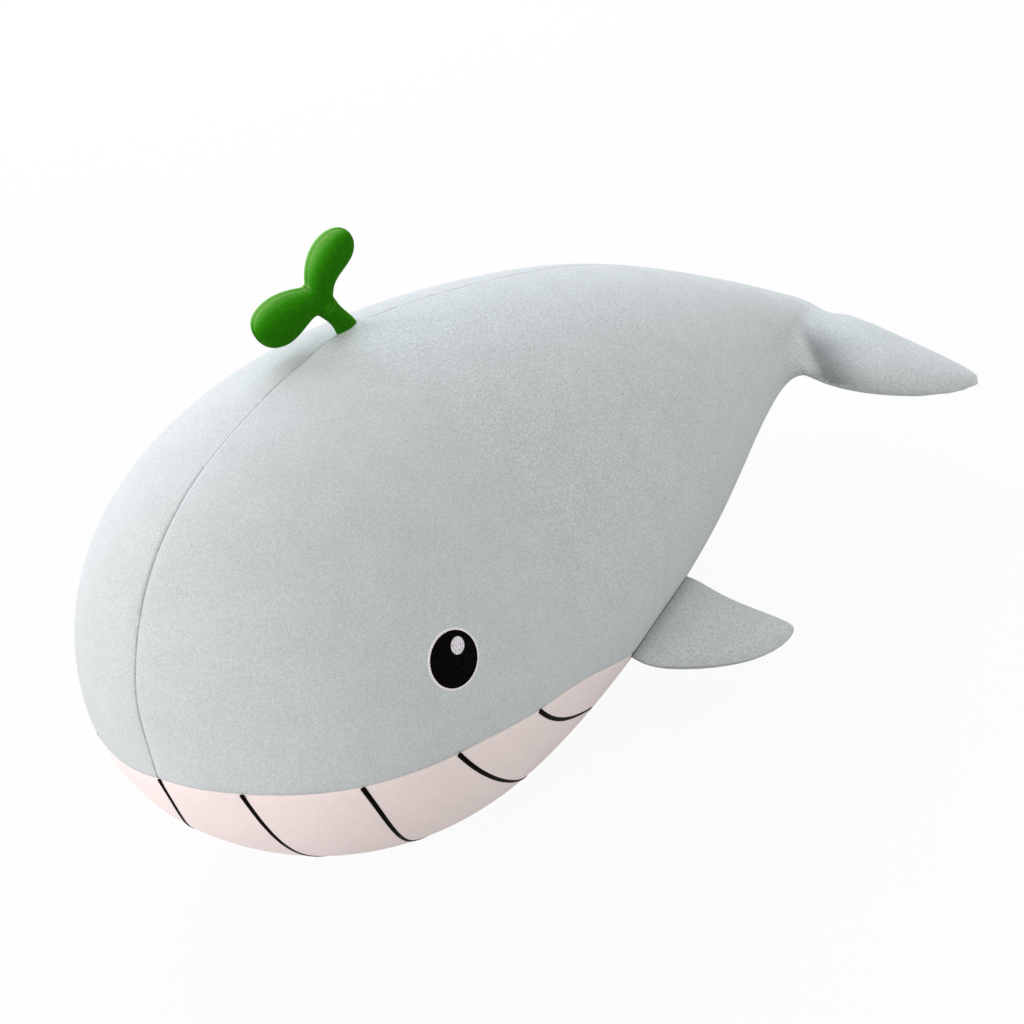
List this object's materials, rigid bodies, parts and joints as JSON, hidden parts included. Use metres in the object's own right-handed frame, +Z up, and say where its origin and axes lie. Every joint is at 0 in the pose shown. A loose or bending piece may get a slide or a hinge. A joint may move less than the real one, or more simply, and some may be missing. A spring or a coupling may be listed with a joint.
{
  "type": "plush whale",
  "caption": "Stuffed plush whale toy with a pale blue-grey back, a pinkish-white belly, throat lines, flippers, flukes and a green sprout.",
  "frame": {"origin": "centre of the bounding box's bottom face, on the plane that the belly rests on", "axes": "+Z up; +Y from the nose towards the tail; +X towards the whale's left side"},
  "size_m": [0.2758, 0.5536, 0.298],
  "materials": {
    "blue_grey_plush": "short pile",
    "pinkish_white_plush": "short pile",
    "green_velour": "velour",
    "black_thread": "satin stitch",
    "white_thread": "satin stitch",
    "fibre_filling": "loose fibre"
  },
  "bodies": {
    "whale": {"back_panel_left": "blue_grey_plush", "back_panel_right": "blue_grey_plush", "belly_panel": "pinkish_white_plush", "body_stuffing": "fibre_filling", "eye_rim_left": "white_thread", "eye_black_left": "black_thread", "eye_highlight_left": "white_thread", "eye_rim_right": "white_thread", "eye_black_right": "black_thread", "eye_highlight_right": "white_thread", "throat_line_centre": "black_thread", "throat_line_left_1": "black_thread", "throat_line_left_2": "black_thread", "throat_line_left_3": "black_thread", "throat_line_left_4": "black_thread", "throat_line_right_1": "black_thread", "throat_line_right_2": "black_thread", "throat_line_right_3": "black_thread", "throat_line_right_4": "black_thread"},
    "flipper_left": {"flipper_left_upper": "blue_grey_plush", "flipper_left_lower": "blue_grey_plush", "flipper_left_stuffing": "fibre_filling"},
    "flipper_right": {"flipper_right_upper": "blue_grey_plush", "flipper_right_lower": "blue_grey_plush", "flipper_right_stuffing": "fibre_filling"},
    "fluke_left": {"fluke_left_upper": "blue_grey_plush", "fluke_left_lower": "blue_grey_plush", "fluke_left_stuffing": "fibre_filling"},
    "fluke_right": {"fluke_right_upper": "blue_grey_plush", "fluke_right_lower": "blue_grey_plush", "fluke_right_stuffing": "fibre_filling"},
    "stem": {"stem_left": "green_velour", "stem_right": "green_velour", "stem_stuffing": "fibre_filling"},
    "leaf_rear": {"leaf_rear_left": "green_velour", "leaf_rear_right": "green_velour", "leaf_rear_stuffing": "fibre_filling"},
    "leaf_front": {"leaf_front_left": "green_velour", "leaf_front_right": "green_velour", "leaf_front_stuffing": "fibre_filling"}
  },
  "joints": [
    {"name": "flipper_left_flap", "type": "hinge", "parent": "whale", "child": "flipper_left", "pos_m": [0.08854, -0.01046, 0.05118], "axis": [0.1444, -0.9895, 0], "range_deg": [-30, 40], "stiffness_Nm_per_rad": 0.02},
    {"name": "flipper_right_flap", "type": "hinge", "parent": "whale", "child": "flipper_right", "pos_m": [-0.08854, -0.01046, 0.05115], "axis": [0.1444, 0.9895, 0], "range_deg": [-30, 40], "stiffness_Nm_per_rad": 0.02},
    {"name": "fluke_left_flap", "type": "hinge", "parent": "whale", "child": "fluke_left", "pos_m": [0.0531, 0.2371, 0.08462], "axis": [0.1392, -0.9903, 0], "range_deg": [-25, 25], "stiffness_Nm_per_rad": 0.05},
    {"name": "fluke_right_flap", "type": "hinge", "parent": "whale", "child": "fluke_right", "pos_m": [-0.0531, 0.23711, 0.08462], "axis": [0.1392, 0.9903, 0], "range_deg": [-25, 25], "stiffness_Nm_per_rad": 0.05},
    {"name": "stem_sway", "type": "hinge", "parent": "whale", "child": "stem", "pos_m": [-0.00074, -0.10753, 0.25005], "axis": [0.342, 0.9397, 0], "range_deg": [-25, 25], "stiffness_Nm_per_rad": 0.01},
    {"name": "leaf_rear_fold", "type": "hinge", "parent": "stem", "child": "leaf_rear", "pos_m": [-0.00226, -0.1117, 0.27595], "axis": [0.2658, 0.7303, -0.6293], "range_deg": [-25, 25], "stiffness_Nm_per_rad": 0.005},
    {"name": "leaf_front_fold", "type": "hinge", "parent": "stem", "child": "leaf_front", "pos_m": [-0.00682, -0.12423, 0.26794], "axis": [-0.0653, -0.1793, 0.9816], "range_deg": [-25, 25], "stiffness_Nm_per_rad": 0.005}
  ]
}
